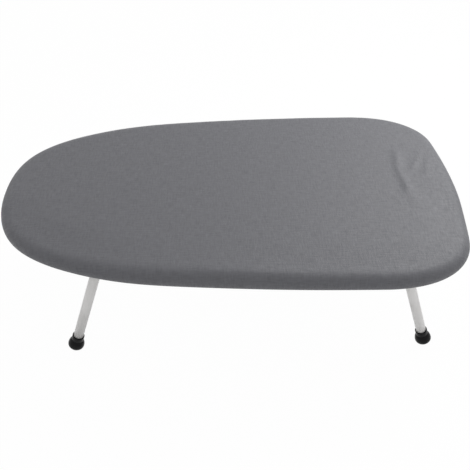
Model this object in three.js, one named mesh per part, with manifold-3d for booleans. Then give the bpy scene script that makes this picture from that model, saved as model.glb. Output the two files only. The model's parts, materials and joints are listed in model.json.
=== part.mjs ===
// A tabletop ironing board: a padded board on two folding legs of bent tube.
//
// Millimetres. +X runs from the rounded nose to the broad tail, +Z is up, and the origin
// is on the floor under the middle of the board. The near side is -Y.
//
// The board is built from the outside inwards: a fabric cover, a foam pad and a steel mesh
// deck, which is welded on a rim of bent tube. Four pressed braces cross the rim. Two of
// them carry the legs' cross tubes in riveted saddles, and the lighter two carry the
// spring clips that hold the folded legs.

import * as THREE from 'three';
import { mergeVertices } from 'three/addons/utils/BufferGeometryUtils.js';
import Module from 'manifold-3d';

const wasm = await Module();
wasm.setup();

// ---------------------------------------------------------------- driving dimensions

// The board's outline, measured on the outside of the cover.
const boardLength = 600;
const boardWidth = 360;
const noseBluntness = 108; // how far the nose curve pulls across the board
const sideSweep = 426; // how far the side curve pulls forward from the widest place
const tailShoulder = 122; // widest place to the tail end
const cornerDepth = 74; // how far a tail corner reaches in from the side
const tailBow = 8.5; // how far the tail end swells out at its middle
const surfaceHeight = 180; // floor to ironing surface

// Cover, pad and hem.
const coverThickness = 1;
const coverTopRadius = 11;
const coverFootRadius = 4;
const softGap = 0.3; // between fabric, foam and steel
const padThickness = 5;
const padSkirtThickness = 3;
const padSkirtDrop = 5; // how far the pad hangs below the middle of the rim tube
const elasticDiameter = 2.4;
const hemInset = 18; // cover's side to the middle of the hem's roll

// Rim and deck.
const rimDiameter = 16; // across the tube's flats
const rimWall = 1.2;
const drainHoleDiameter = 4;
const deckThickness = 1.2;
const deckLap = 2.5; // how far the deck reaches out past the middle of the rim tube
const deckBorder = 12; // unpierced strip inside the deck's edge
const lozengeLength = 66;
const lozengeWidth = 24;
const strandWidth = 8; // steel left between lozenges, along the board
const strandHeight = 4.5; // and across it

// Pressed braces.
const sheetThickness = 1.2;
const hingeBraceWidth = 40;
const keeperBraceWidth = 30;
const keeperBraceDepth = 10;
const weldGap = 0.3;

// Legs.
const nosePivotSetback = 135; // nose tip to the nose leg's cross tube
const tailPivotSetback = 89; // tail end to the tail leg's cross tube
const splayDegrees = 18;
const legSpacing = 236; // between the middles of a leg's two tubes
const legDiameter = 13;
const legWall = 1.1;
const bendRadius = 25;
const pivotClearance = 0.5; // cross tube to brace, and to saddle

// Saddles, rivets and stop lugs.
const saddleWidth = 24;
const saddleThickness = 1.5;
const saddleFloat = 1; // saddle to the start of the tube's bend
const saddleRivetOffset = 14; // cross tube to rivet
const rivetDiameter = 4;
const rivetHeadDiameter = 8;
const rivetHeadHeight = 1.8;
const rivetTailDiameter = 6.4;
const rivetTailHeight = 1.2;
const rivetClearance = 0.3;
const lugOffset = 40; // board's long middle line to the middle of a lug
const lugWidth = 20;
const lugThickness = 3;
const lugReach = 13.5; // cross tube's middle to the lug's tip
const lugOverlap = 2.5; // cross tube's middle to the lug's root
const stopGap = 0.3; // lug to brace when the leg stands

// Storage clips for the folded legs.
const clipReach = 115; // cross tube to clip, along the folded leg
const clipLength = 14;
const clipThickness = 1.2;
const clipClearance = 0.4; // folded tube to each jaw
const clipGrip = 3.5; // how far a jaw passes the middle of the folded tube
const clipLipLength = 3;
const clipLipFlare = 1.5;

// Feet.
const footDiameter = 21.4;
const footDomeDepth = 7.8; // widest place to the tip
const footShoulderHeight = 13.1; // of the oval that the foot's upper half follows
const footCreaseDiameter = 15.2;
const collarDiameter = 15.8;
const collarHeight = 7.8;
const footGap = 0.3; // tube to foot
const footFlatDepth = 0.4; // how much of the tip is flat on the floor
const socketFloor = 6; // foot's tip to the end of the tube

// Roundness.
const noseSteps = 12; // along the nose and side curve
const cornerSteps = 6;
const tailSteps = 2;
const tubeSides = 12;
const footSides = 16;
const rivetSides = 8;
const bendSteps = 5;
const roundSteps = 4; // for a quarter of a circle
const smallSteps = 2; // for a quarter of a small one

// ------------------------------------------------------------------- derived levels

const padTop = surfaceHeight - coverThickness - softGap;
const padBottom = padTop - padThickness;
const deckTop = padBottom - softGap;
const deckBottom = deckTop - deckThickness;
const rimZ = deckBottom - rimDiameter / 2;
const rimBottom = rimZ - rimDiameter / 2;
const rimInset = coverThickness + softGap + padSkirtThickness + softGap + rimDiameter / 2;
const hemTop = rimBottom - softGap;
const coverBottom = hemTop - coverThickness;
const keeperBottom = deckBottom - keeperBraceDepth;
const pivotZ = rimBottom - pivotClearance - legDiameter / 2;
const nosePivotX = -boardLength / 2 + nosePivotSetback;
const tailPivotX = boardLength / 2 - tailPivotSetback;
const splay = THREE.MathUtils.degToRad(splayDegrees);

// A many-sided tube whose flats are a given distance apart has its corners out here.
const cornerRadius = (acrossFlats) => acrossFlats / 2 / Math.cos(Math.PI / tubeSides);

// A foot's dome is half an oval, tilted by the splay, so its lowest point is this far
// below its widest place.
const footDrop = Math.hypot((footDiameter / 2) * Math.sin(splay), footDomeDepth * Math.cos(splay));
const footZ = footDrop - footFlatDepth;
const legReach = (pivotZ - footZ) / Math.cos(splay);

// ------------------------------------------------------------------------- finishes

const finish = (color, roughness, metalness) =>
  new THREE.MeshStandardMaterial({ color, roughness, metalness });
const greyCloth = finish(0x74767a, 0.6, 0.2);
const paleFoam = finish(0xd9d5ca, 0.95, 0);
const whiteElastic = finish(0xe6e4df, 0.9, 0);
const greyMesh = finish(0xa9adb1, 0.45, 0.6);
const whitePowder = finish(0xd8d5d2, 0.4, 0.1);
const bareZinc = finish(0xb4b7ba, 0.35, 0.8);
const springSteel = finish(0x9a9da0, 0.3, 0.9);
const blackRubber = finish(0x1c1c1e, 0.35, 0);

// -------------------------------------------------------------------------- helpers

const board = new THREE.Group();

function addPiece(name, geometry, material, parent = board) {
  const piece = new THREE.Mesh(geometry, material.clone());
  piece.name = name;
  parent.add(piece);
  return piece;
}

function toSolid(geometry) {
  const bare = geometry.clone();
  bare.deleteAttribute('normal');
  bare.deleteAttribute('uv');
  const merged = mergeVertices(bare);
  const corners = merged.index.array;
  const kept = [];
  for (let i = 0; i < corners.length; i += 3) {
    const [a, b, c] = corners.subarray(i, i + 3);
    if (a !== b && b !== c && c !== a) kept.push(a, b, c);
  }
  const vertProperties = new Float32Array(merged.attributes.position.array);
  const triVerts = new Uint32Array(kept);
  return new wasm.Manifold(new wasm.Mesh({ numProp: 3, vertProperties, triVerts }));
}

function toGeometry(solid) {
  const mesh = solid.getMesh();
  const geometry = new THREE.BufferGeometry();
  geometry.setAttribute('position', new THREE.BufferAttribute(mesh.vertProperties, 3));
  geometry.setIndex(new THREE.BufferAttribute(mesh.triVerts, 1));
  geometry.computeVertexNormals();
  return geometry;
}

const extrude = (shape, depth, curveSegments = roundSteps) =>
  new THREE.ExtrudeGeometry(shape, { depth, curveSegments, bevelEnabled: false });

// A section drawn in X and Z, pulled along Y and centred on it.
function extrudeAcross(shape, width) {
  const [x, y, z] = [new THREE.Vector3(1, 0, 0), new THREE.Vector3(0, 1, 0), new THREE.Vector3(0, 0, 1)];
  const turn = new THREE.Matrix4().makeBasis(x, z, y.negate());
  return extrude(shape, width, 2 * roundSteps).applyMatrix4(turn).translate(0, width / 2, 0);
}

// A section drawn in Y and Z, pulled along X and centred on it.
function extrudeAlong(shape, length) {
  const [x, y, z] = [new THREE.Vector3(1, 0, 0), new THREE.Vector3(0, 1, 0), new THREE.Vector3(0, 0, 1)];
  const turn = new THREE.Matrix4().makeBasis(y, z, x);
  return extrude(shape, length).applyMatrix4(turn).translate(-length / 2, 0, 0);
}

function upright(diameter, bottom, top, x, y) {
  const height = top - bottom;
  const cylinder = new THREE.CylinderGeometry(diameter / 2, diameter / 2, height, rivetSides);
  return cylinder.rotateX(Math.PI / 2).translate(x, y, bottom + height / 2);
}

// Points on an arc, in degrees, as [x, y] pairs.
function arc(cx, cy, radius, from, to, steps = roundSteps) {
  const points = [];
  for (let i = 0; i <= steps; i++) {
    const angle = THREE.MathUtils.degToRad(from + ((to - from) * i) / steps);
    points.push([cx + radius * Math.cos(angle), cy + radius * Math.sin(angle)]);
  }
  return points;
}

// -------------------------------------------------------------------- board outline

// Half of the outline runs from the nose tip round the side to the middle of the tail.
// Each station holds a point of the outline and the direction that faces outwards there.
function outlineStations() {
  const point = (x, y) => new THREE.Vector2(x, y);
  const noseX = -boardLength / 2;
  const tailX = boardLength / 2;
  const side = boardWidth / 2;
  const widest = point(tailX - tailShoulder, side);
  const cornerEnd = point(tailX - tailBow, side - cornerDepth);
  const quarterRound = 0.5523; // a cubic's handle for a quarter of a circle, per radius
  const tailSlope = tailBow / (cornerEnd.y / 2);
  const curves = [
    [new THREE.CubicBezierCurve(
      point(noseX, 0), point(noseX, noseBluntness), point(widest.x - sideSweep, side), widest,
    ), noseSteps],
    [new THREE.CubicBezierCurve(
      widest,
      point(widest.x + quarterRound * (cornerEnd.x - widest.x), side),
      point(
        cornerEnd.x - quarterRound * cornerDepth * tailSlope,
        cornerEnd.y + quarterRound * cornerDepth,
      ),
      cornerEnd,
    ), cornerSteps],
    [new THREE.QuadraticBezierCurve(
      cornerEnd, point(tailX, cornerEnd.y / 2), point(tailX, 0),
    ), tailSteps],
  ];
  const half = [];
  for (const [curve, steps] of curves) {
    for (let i = 0; i < steps; i++) {
      const at = curve.getPoint(i / steps);
      const along = curve.getTangent(i / steps);
      half.push({ at, out: point(-along.y, along.x) });
    }
  }
  const noseTip = { at: half[0].at, out: point(-1, 0) };
  const tailEnd = { at: point(tailX, 0), out: point(1, 0) };
  const farSide = half.slice(1);
  const nearSide = farSide.map(({ at, out }) => ({
    at: point(at.x, -at.y),
    out: point(out.x, -out.y),
  }));
  return [noseTip, ...nearSide, tailEnd, ...farSide.reverse()];
}

const stations = outlineStations();
const middle = null; // an inset that means the middle of the board

function insetPoint(station, inset) {
  return station.at.clone().addScaledVector(station.out, -inset);
}

function isInside(x, y, inset) {
  const at = new THREE.Vector2(x, y);
  return stations.every((s) => at.clone().sub(s.at).dot(s.out) <= -inset);
}

// A body that follows the whole outline. Its section is a list of [inset, height] points.
// With the outside of the board on the right, they run counterclockwise, and they either
// close on themselves or start and end on the middle of the board.
function followOutline(section) {
  const onAxis = section[0][0] === middle;
  const points = onAxis ? section : [...section, section[0]];
  const profile = points.map(([inset, z]) => new THREE.Vector2(inset === middle ? 0 : 1, z));
  const geometry = new THREE.LatheGeometry(profile, stations.length);
  const position = geometry.attributes.position;
  for (let i = 0; i < position.count; i++) {
    const station = stations[Math.floor(i / points.length) % stations.length];
    const [inset, z] = points[i % points.length];
    const at = inset === middle ? new THREE.Vector2(0, 0) : insetPoint(station, inset);
    position.setXYZ(i, at.x, at.y, z);
  }
  geometry.computeVertexNormals();
  return geometry;
}

// Arcs are drawn with the outside on the right, so their first number is an inset with
// its sign turned.
const asInsets = (points) => points.map(([outwards, z]) => [-outwards, z]);

function ringOfTube(acrossFlats) {
  const radius = cornerRadius(acrossFlats);
  const facet = 360 / tubeSides;
  const corners = arc(-rimInset, rimZ, radius, facet / 2, 360 + facet / 2, tubeSides);
  return followOutline(asInsets(corners.slice(0, -1)));
}

// --------------------------------------------------------------------- soft pieces

function coverSection() {
  const innerTop = surfaceHeight - coverThickness;
  const topZ = surfaceHeight - coverTopRadius;
  const footZone = coverBottom + coverFootRadius;
  const rollRadius = elasticDiameter / 2 + softGap + coverThickness;
  const rollZ = hemTop - rollRadius;
  const freeEdge = 345; // where the hem's roll ends, leaving a mouth towards the outside
  const rollSteps = 3 * smallSteps;
  return [
    [middle, innerTop],
    ...asInsets(arc(-coverTopRadius, topZ, coverTopRadius - coverThickness, 90, 0)),
    ...asInsets(arc(-coverFootRadius, footZone, coverFootRadius - coverThickness, 0, -90, smallSteps)),
    ...asInsets(arc(-hemInset, rollZ, rollRadius, 90, freeEdge, rollSteps)),
    ...asInsets(arc(-hemInset, rollZ, rollRadius - coverThickness, freeEdge, 90, rollSteps)),
    ...asInsets(arc(-coverFootRadius, footZone, coverFootRadius, 270, 360, smallSteps)),
    ...asInsets(arc(-coverTopRadius, topZ, coverTopRadius, 0, 90)),
    [middle, surfaceHeight],
  ];
}

function padSection() {
  const outside = coverThickness + softGap;
  const topRadius = coverTopRadius - outside;
  const topZ = surfaceHeight - coverTopRadius;
  const hollow = cornerRadius(rimDiameter) + softGap;
  const deckEdge = rimInset - deckLap - softGap;
  const overhang = rimInset - deckEdge;
  const start = THREE.MathUtils.radToDeg(Math.acos(overhang / hollow));
  const skirtBottom = rimZ - padSkirtDrop;
  return [
    [middle, padBottom],
    [deckEdge, padBottom],
    ...asInsets(arc(-rimInset, rimZ, hollow, start, 0)),
    [rimInset - hollow, skirtBottom],
    [outside, skirtBottom],
    ...asInsets(arc(-coverTopRadius, topZ, topRadius, 0, 90)),
    [middle, padTop],
  ];
}

function elasticSection() {
  const rollRadius = elasticDiameter / 2 + softGap + coverThickness;
  const ring = arc(-hemInset, hemTop - rollRadius, elasticDiameter / 2, 0, 360, 4 * smallSteps);
  return asInsets(ring.slice(0, -1));
}

addPiece('cover', followOutline(coverSection()), greyCloth);
addPiece('foam_pad', followOutline(padSection()), paleFoam);
addPiece('hem_elastic', followOutline(elasticSection()), whiteElastic);

// --------------------------------------------------------------------- rim and deck

function makeRim() {
  const outer = toSolid(ringOfTube(rimDiameter));
  const bore = toSolid(ringOfTube(rimDiameter - 2 * rimWall));
  let rim = outer.subtract(bore);
  for (const x of [-boardLength / 2 + rimInset, boardLength / 2 - rimInset]) {
    rim = rim.subtract(toSolid(upright(drainHoleDiameter, rimBottom - rimWall, rimZ, x, 0)));
  }
  return toGeometry(rim);
}

// Expanded steel: staggered rows of lozenges, wherever a whole one fits.
function makeDeck() {
  const edgeInset = rimInset - deckLap;
  const sheet = new THREE.Shape(stations.map((s) => insetPoint(s, edgeInset)));
  const pitchX = lozengeLength + strandWidth;
  const pitchY = lozengeWidth / 2 + strandHeight;
  const rows = Math.floor(boardWidth / 2 / pitchY);
  const columns = Math.floor(boardLength / 2 / pitchX) + 1;
  for (let row = -rows; row <= rows; row++) {
    for (let column = -columns; column <= columns; column++) {
      const x = (column + (row % 2 === 0 ? 0 : 0.5)) * pitchX;
      const y = row * pitchY;
      const corners = [
        [x - lozengeLength / 2, y],
        [x, y - lozengeWidth / 2],
        [x + lozengeLength / 2, y],
        [x, y + lozengeWidth / 2],
      ];
      if (!corners.every(([cx, cy]) => isInside(cx, cy, edgeInset + deckBorder))) continue;
      sheet.holes.push(new THREE.Path(corners.map(([cx, cy]) => new THREE.Vector2(cx, cy))));
    }
  }
  return extrude(sheet, deckThickness).translate(0, 0, deckBottom);
}

addPiece('rim_frame', makeRim(), whitePowder);
addPiece('deck_mesh', makeDeck(), greyMesh);

// --------------------------------------------------------------------------- braces

// Everything that a brace's end keeps clear of: the rim tube and all that is outside it.
function rimEnvelope() {
  const clear = cornerRadius(rimDiameter) + weldGap;
  const farOut = -boardWidth / 4;
  const [low, high] = [rimBottom - rimDiameter, deckTop + rimDiameter];
  return toSolid(followOutline([
    [rimInset, low],
    [farOut, low],
    [farOut, high],
    [rimInset, high],
    ...asInsets(arc(-rimInset, rimZ, clear, 90, 270, 2 * roundSteps)),
  ]));
}

const envelope = rimEnvelope();

// A channel, open towards the deck, from rim to rim.
function makeBrace(x, width, bottom, rivetPlaces) {
  const half = width / 2;
  const channel = new THREE.Shape([
    new THREE.Vector2(-half, bottom),
    new THREE.Vector2(half, bottom),
    new THREE.Vector2(half, deckBottom),
    new THREE.Vector2(half - sheetThickness, deckBottom),
    new THREE.Vector2(half - sheetThickness, bottom + sheetThickness),
    new THREE.Vector2(-half + sheetThickness, bottom + sheetThickness),
    new THREE.Vector2(-half + sheetThickness, deckBottom),
    new THREE.Vector2(-half, deckBottom),
  ]);
  let brace = toSolid(extrudeAcross(channel, boardWidth).translate(x, 0, 0)).subtract(envelope);
  const holeDiameter = rivetDiameter + 2 * rivetClearance;
  const [low, high] = [bottom - sheetThickness, bottom + 2 * sheetThickness];
  for (const [rx, ry] of rivetPlaces) {
    brace = brace.subtract(toSolid(upright(holeDiameter, low, high, x + rx, ry)));
  }
  return toGeometry(brace);
}

const saddleY = legSpacing / 2 - bendRadius - saddleFloat - saddleWidth / 2;
const saddleRivets = [];
for (const rx of [-saddleRivetOffset, saddleRivetOffset]) {
  for (const ry of [-saddleY, saddleY]) saddleRivets.push([rx, ry]);
}
const clipRivets = [[0, -legSpacing / 2], [0, legSpacing / 2]];
const noseClipX = nosePivotX + clipReach;
const tailClipX = tailPivotX - clipReach;

const noseHingeBrace = makeBrace(nosePivotX, hingeBraceWidth, rimBottom, saddleRivets);
const tailHingeBrace = makeBrace(tailPivotX, hingeBraceWidth, rimBottom, saddleRivets);
const noseKeeperBrace = makeBrace(noseClipX, keeperBraceWidth, keeperBottom, clipRivets);
const tailKeeperBrace = makeBrace(tailClipX, keeperBraceWidth, keeperBottom, clipRivets);
addPiece('nose_hinge_brace', noseHingeBrace, whitePowder);
addPiece('tail_hinge_brace', tailHingeBrace, whitePowder);
addPiece('nose_keeper_brace', noseKeeperBrace, whitePowder);
addPiece('tail_keeper_brace', tailKeeperBrace, whitePowder);

// --------------------------------------------------------------------------- rivets

// A domed head below, a shank through the stack of sheets, and a tail set above.
function makeRivet(stack) {
  const dome = [];
  for (let i = 0; i <= smallSteps; i++) {
    const angle = (Math.PI / 2) * (i / smallSteps);
    const radius = (rivetHeadDiameter / 2) * Math.sin(angle);
    dome.push(new THREE.Vector2(radius, -rivetHeadHeight * Math.cos(angle)));
  }
  const profile = [
    ...dome,
    new THREE.Vector2(rivetDiameter / 2, 0),
    new THREE.Vector2(rivetDiameter / 2, stack),
    new THREE.Vector2(rivetTailDiameter / 2, stack),
    new THREE.Vector2(rivetTailDiameter / 2, stack + rivetTailHeight / 2),
    new THREE.Vector2(rivetDiameter / 2, stack + rivetTailHeight),
    new THREE.Vector2(0, stack + rivetTailHeight),
  ];
  return new THREE.LatheGeometry(profile, rivetSides).rotateX(Math.PI / 2);
}

// --------------------------------------------------------------------- leg stations

// A strap that hangs the cross tube under its brace.
function makeSaddle() {
  const top = rimBottom - pivotZ;
  const inner = legDiameter / 2 + pivotClearance;
  const outer = inner + saddleThickness;
  const tab = hingeBraceWidth / 2;
  const strap = new THREE.Shape();
  strap.moveTo(-tab, top);
  strap.lineTo(-tab, top - saddleThickness);
  strap.lineTo(-outer, top - saddleThickness);
  strap.lineTo(-outer, 0);
  strap.absarc(0, 0, outer, Math.PI, 2 * Math.PI, false);
  strap.lineTo(outer, top - saddleThickness);
  strap.lineTo(tab, top - saddleThickness);
  strap.lineTo(tab, top);
  strap.lineTo(inner, top);
  strap.lineTo(inner, 0);
  strap.absarc(0, 0, inner, 2 * Math.PI, Math.PI, true);
  strap.lineTo(-inner, top);
  const holeDiameter = rivetDiameter + 2 * rivetClearance;
  const [low, high] = [top - 2 * saddleThickness, top + saddleThickness];
  let saddle = toSolid(extrudeAcross(strap, saddleWidth));
  for (const rx of [-saddleRivetOffset, saddleRivetOffset]) {
    saddle = saddle.subtract(toSolid(upright(holeDiameter, low, high, rx, 0)));
  }
  return toGeometry(saddle);
}

// A lug on the outward side of the cross tube. It meets the brace when the leg stands.
function makeLug() {
  const top = rimBottom - pivotZ - stopGap;
  const bottom = top - lugThickness;
  const cope = legDiameter / 2 + weldGap;
  const lug = new THREE.Shape();
  lug.moveTo(lugReach, bottom);
  lug.lineTo(lugReach, top);
  lug.lineTo(lugOverlap, top);
  lug.absarc(0, 0, cope, Math.acos(lugOverlap / cope), Math.asin(bottom / cope), true);
  return extrudeAcross(lug, lugWidth);
}

// A route through chosen stations, which meets each bend's points exactly.
class TubeRoute extends THREE.Curve {
  constructor(points) {
    super();
    this.points = points;
  }

  getPoint(t, target = new THREE.Vector3()) {
    const place = THREE.MathUtils.clamp(t, 0, 1) * (this.points.length - 1);
    const i = Math.min(Math.floor(place), this.points.length - 2);
    return target.lerpVectors(this.points[i], this.points[i + 1], place - i);
  }

  getUtoTmapping(u) {
    return u;
  }
}

// The U of tube, standing straight: its cross tube lies on Y through the origin.
function makeLegTube() {
  const half = legSpacing / 2;
  const end = -legReach - footDomeDepth + socketFloor;
  const points = [new THREE.Vector3(0, -half, end)];
  for (const [y, from, to] of [[bendRadius - half, 180, 90], [half - bendRadius, 90, 0]]) {
    for (const [by, bz] of arc(y, -bendRadius, bendRadius, from, to, bendSteps)) {
      points.push(new THREE.Vector3(0, by, bz));
    }
  }
  points.push(new THREE.Vector3(0, half, end));
  const wall = new THREE.Shape();
  wall.absarc(0, 0, legDiameter / 2, 0, 2 * Math.PI, false);
  const bore = new THREE.Path();
  bore.absarc(0, 0, legDiameter / 2 - legWall, 0, 2 * Math.PI, true);
  wall.holes.push(bore);
  return new THREE.ExtrudeGeometry(wall, {
    extrudePath: new TubeRoute(points),
    steps: points.length - 1,
    curveSegments: tubeSides / 2,
  });
}

// A bulbous cap round the tube's end, with its widest place at the origin, cut flat where
// the splayed leg meets the floor.
function makeFoot() {
  const radius = footDiameter / 2;
  const crease = footCreaseDiameter / 2;
  const collar = collarDiameter / 2;
  const socket = legDiameter / 2 + footGap;
  const creaseAngle = Math.acos(crease / radius);
  const creaseHeight = footShoulderHeight * Math.sin(creaseAngle);
  const lip = (collar - socket) / 2;
  const profile = [];
  for (let i = 0; i < roundSteps; i++) {
    const angle = (Math.PI / 2) * (i / roundSteps);
    profile.push(new THREE.Vector2(radius * Math.sin(angle), -footDomeDepth * Math.cos(angle)));
  }
  for (let i = 0; i <= roundSteps; i++) {
    const angle = creaseAngle * (i / roundSteps);
    const height = footShoulderHeight * Math.sin(angle);
    profile.push(new THREE.Vector2(radius * Math.cos(angle), height));
  }
  profile.push(new THREE.Vector2(collar, creaseHeight + lip));
  profile.push(new THREE.Vector2(collar, creaseHeight + collarHeight - lip));
  profile.push(new THREE.Vector2(collar - lip, creaseHeight + collarHeight));
  profile.push(new THREE.Vector2(socket, creaseHeight + collarHeight));
  profile.push(new THREE.Vector2(socket, socketFloor - footDomeDepth - footGap));
  profile.push(new THREE.Vector2(0, socketFloor - footDomeDepth - footGap));
  const cap = new THREE.LatheGeometry(profile, footSides).rotateX(Math.PI / 2);
  const slab = new THREE.BoxGeometry(4 * radius, 4 * radius, radius);
  slab.translate(0, 0, -footZ - radius / 2).rotateY(splay);
  return toGeometry(toSolid(cap).subtract(toSolid(slab)));
}

const saddle = makeSaddle();
const lug = makeLug();
const legTube = makeLegTube();
const foot = makeFoot();
const saddleRivet = makeRivet(saddleThickness + sheetThickness);

// One leg with all that carries it. Its outward side is +X, and the nose's is turned round.
function addLegStation(end, x, turn) {
  const station = new THREE.Group();
  station.position.set(x, 0, pivotZ);
  station.rotation.z = turn;
  board.add(station);
  const splayed = new THREE.Group();
  splayed.rotation.y = -splay;
  station.add(splayed);
  addPiece(`${end}_leg`, legTube, whitePowder, splayed);

  const facing = Math.cos(turn);
  for (const side of [-1, 1]) {
    const where = side * facing < 0 ? 'near' : 'far';
    const cap = addPiece(`${end}_foot_${where}`, foot, blackRubber, splayed);
    cap.position.set(0, (side * legSpacing) / 2, -legReach);
    const strap = addPiece(`${end}_saddle_${where}`, saddle, bareZinc, station);
    strap.position.y = side * saddleY;
    const stop = addPiece(`${end}_stop_lug_${where}`, lug, whitePowder, station);
    stop.position.y = side * lugOffset;
    for (const [place, rx] of [['inner', -saddleRivetOffset], ['outer', saddleRivetOffset]]) {
      const rivet = addPiece(`${end}_saddle_rivet_${where}_${place}`, saddleRivet, bareZinc, station);
      rivet.position.set(rx, side * saddleY, rimBottom - pivotZ - saddleThickness);
    }
  }
}

addLegStation('nose', nosePivotX, Math.PI);
addLegStation('tail', tailPivotX, 0);

// -------------------------------------------------------------------- storage clips

// A fork that opens downwards round the folded leg's tube.
function makeClip() {
  const inner = legDiameter / 2 + clipClearance;
  const outer = inner + clipThickness;
  const tip = pivotZ - keeperBottom - clipGrip;
  const bend = tip + clipLipLength;
  const points = [
    [-outer, 0],
    [-outer, bend],
    [-outer - clipLipFlare, tip],
    [-inner - clipLipFlare, tip],
    [-inner, bend],
    [-inner, -clipThickness],
    [inner, -clipThickness],
    [inner, bend],
    [inner + clipLipFlare, tip],
    [outer + clipLipFlare, tip],
    [outer, bend],
    [outer, 0],
  ];
  const fork = new THREE.Shape(points.map(([y, z]) => new THREE.Vector2(y, z)));
  const hole = upright(rivetDiameter + 2 * rivetClearance, -2 * clipThickness, clipThickness, 0, 0);
  return toGeometry(toSolid(extrudeAlong(fork, clipLength)).subtract(toSolid(hole)));
}

const clip = makeClip();
const clipRivet = makeRivet(clipThickness + sheetThickness);

for (const [end, x] of [['nose', noseClipX], ['tail', tailClipX]]) {
  for (const [where, side] of [['near', -1], ['far', 1]]) {
    const y = (side * legSpacing) / 2;
    const fork = addPiece(`${end}_clip_${where}`, clip, springSteel);
    fork.position.set(x, y, keeperBottom);
    const rivet = addPiece(`${end}_clip_rivet_${where}`, clipRivet, bareZinc);
    rivet.position.set(x, y, keeperBottom - clipThickness);
  }
}

export default board;
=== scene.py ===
import json
import math

import bmesh
import bpy
import numpy as np
from mathutils import Matrix, Vector, noise
from mathutils.bvhtree import BVHTree
from mathutils.geometry import interpolate_bezier


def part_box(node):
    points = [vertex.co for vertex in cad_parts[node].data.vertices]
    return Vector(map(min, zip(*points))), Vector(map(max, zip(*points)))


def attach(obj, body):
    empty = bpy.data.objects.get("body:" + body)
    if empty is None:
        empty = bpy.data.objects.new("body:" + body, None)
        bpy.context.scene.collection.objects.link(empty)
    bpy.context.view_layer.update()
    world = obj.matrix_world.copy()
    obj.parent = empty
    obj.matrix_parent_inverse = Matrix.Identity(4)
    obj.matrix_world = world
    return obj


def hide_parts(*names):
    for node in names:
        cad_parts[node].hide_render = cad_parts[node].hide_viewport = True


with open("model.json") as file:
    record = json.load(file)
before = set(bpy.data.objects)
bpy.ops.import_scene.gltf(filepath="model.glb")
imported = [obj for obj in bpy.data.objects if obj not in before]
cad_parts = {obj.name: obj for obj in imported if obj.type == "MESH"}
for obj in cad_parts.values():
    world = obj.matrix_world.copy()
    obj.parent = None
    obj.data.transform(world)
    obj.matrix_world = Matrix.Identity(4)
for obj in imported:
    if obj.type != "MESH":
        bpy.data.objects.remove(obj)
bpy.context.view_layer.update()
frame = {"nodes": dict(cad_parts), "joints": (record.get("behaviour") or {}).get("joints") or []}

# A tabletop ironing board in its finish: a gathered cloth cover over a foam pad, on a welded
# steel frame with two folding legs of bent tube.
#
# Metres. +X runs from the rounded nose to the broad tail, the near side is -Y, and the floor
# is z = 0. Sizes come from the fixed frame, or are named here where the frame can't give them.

scene = bpy.context.scene
mm = 0.001

# ---- Sizes

cover_low, cover_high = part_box("cover")
pad_low, pad_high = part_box("foam_pad")
rim_low, rim_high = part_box("rim_frame")
deck_low, deck_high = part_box("deck_mesh")
half_length = cover_high.x
half_width = cover_high.y
surface_z = cover_high.z
rim_radius = (rim_high.z - rim_low.z) / 2
rim_z = (rim_high.z + rim_low.z) / 2
rim_inset = rim_low.x - cover_low.x + rim_radius

# The outline's curves.
nose_bluntness = 108 * mm
side_sweep = 426 * mm
tail_shoulder = 122 * mm
corner_depth = 74 * mm
tail_bow = 8.5 * mm
quarter_round = 0.5523  # a cubic's handle for a quarter of a circle, per radius

# Cover and hem.
cloth_thickness = 0.9 * mm
cloth_proud = 0.3 * mm  # how far the padded side stands out past the frame's own outline
corner_proud = 1.6 * mm  # and how much more round the tail corners
corner_middle = (38 * mm, 25 * mm)  # how far in from tail and side its middle is
corner_spread = 50 * mm
nose_proud = 3.6 * mm  # and along the nose's sides
nose_side_x = -130 * mm
nose_side_spread = 75 * mm
push_reach = 20 * mm  # how far in from the side that fades out
roll_reach = 15.5 * mm  # how far in from the side the soft top starts to fall away
roll_drop = 13 * mm  # how far below the top the side stands upright
roll_steps = 7
top_step = 1.5 * mm  # from the roll's first ring to the one that the flat top fills
turn_under = 6 * mm  # how far in from the side the flat underside starts
roll_bluntness = 2.2  # 2 rolls over in a plain ellipse, and more in a blunter one
sag_depth = 3.2 * mm  # the most that the padding is drawn down, along the near edge
sag_reach = (12 * mm, 62 * mm)  # how far in from the edge that starts to fade, and where it ends
# The share of it at places along the board in mm.
sag_along = [(-300, 0.6), (-260, 1), (-225, 1), (-180, 0.7), (-130, 0.3), (-80, 0), (20, 0), (90, 0.6),
             (150, 0.8), (210, 1)]
soft_gap = 0.3 * mm
shell_wall = 1 * mm  # the frame's own cover
elastic_radius = 1.2 * mm
hem_inset = 18 * mm
hem_roll_radius = elastic_radius + soft_gap + shell_wall
hem_roll_end = 345  # degrees, where the roll's free edge ends
cover_bottom = rim_low.z - soft_gap - shell_wall
hem_roll_z = cover_bottom + shell_wall - hem_roll_radius
along_steps = 96  # cloth squares along the top
across_steps = 56  # and across it
gather_depth = 1.0 * mm
gather_side = 0.12  # the share of the gathers that reaches up the side
buckle_out = 1.3 * mm  # how far the settled cloth may move out, and
buckle_in = 0.05 * mm  # in, towards the pad and the rim
settle_frames = 16
stitch_inset = 13.5 * mm
stitch_pitch = 4.4 * mm
stitch_half_size = (1.6 * mm, 0.32 * mm, 0.26 * mm)

# Deck.
deck_lap = 2.5 * mm
deck_border = 12 * mm
lozenge_length = 21 * mm
lozenge_width = 9 * mm
strand_half_width = 0.85 * mm

# Braces.
sheet_thickness = 1.2 * mm
press_bend = 1.6 * mm  # outside radius of a pressed bend

# Legs.
splay = math.radians(18)
leg_radius = 6.5 * mm
leg_wall = 1.1 * mm
bend_radius = 25 * mm
half_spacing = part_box("nose_leg")[1].y - leg_radius

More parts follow.
